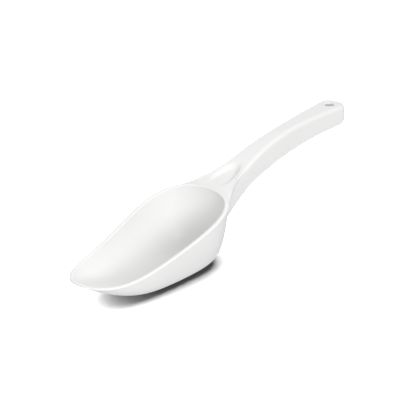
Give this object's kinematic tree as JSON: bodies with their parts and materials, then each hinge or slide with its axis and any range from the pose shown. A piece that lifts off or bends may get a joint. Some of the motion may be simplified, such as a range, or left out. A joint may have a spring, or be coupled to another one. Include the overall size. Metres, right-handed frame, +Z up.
{
  "type": "ice scoop",
  "caption": "Moulded plastic ice scoop: a deep open spoon bowl, a flared neck with a thumb recess and an arched handle with a hang hole.",
  "frame": {"origin": "centre of the bottom of the bounding box, on the surface the bowl's belly rests on", "axes": "+X from the bowl's tip towards the handle's end, +Y across the scoop, +Z up out of the bowl"},
  "size_m": [0.28, 0.0654, 0.0668],
  "materials": {
    "white_plastic": "smooth glossy injection-moulded white plastic"
  },
  "bodies": {
    "root": {"bowl_shell": "white_plastic", "rim_lip": "white_plastic", "thumb_neck": "white_plastic", "handle_grip": "white_plastic", "handle_end": "white_plastic"}
  },
  "joints": []
}
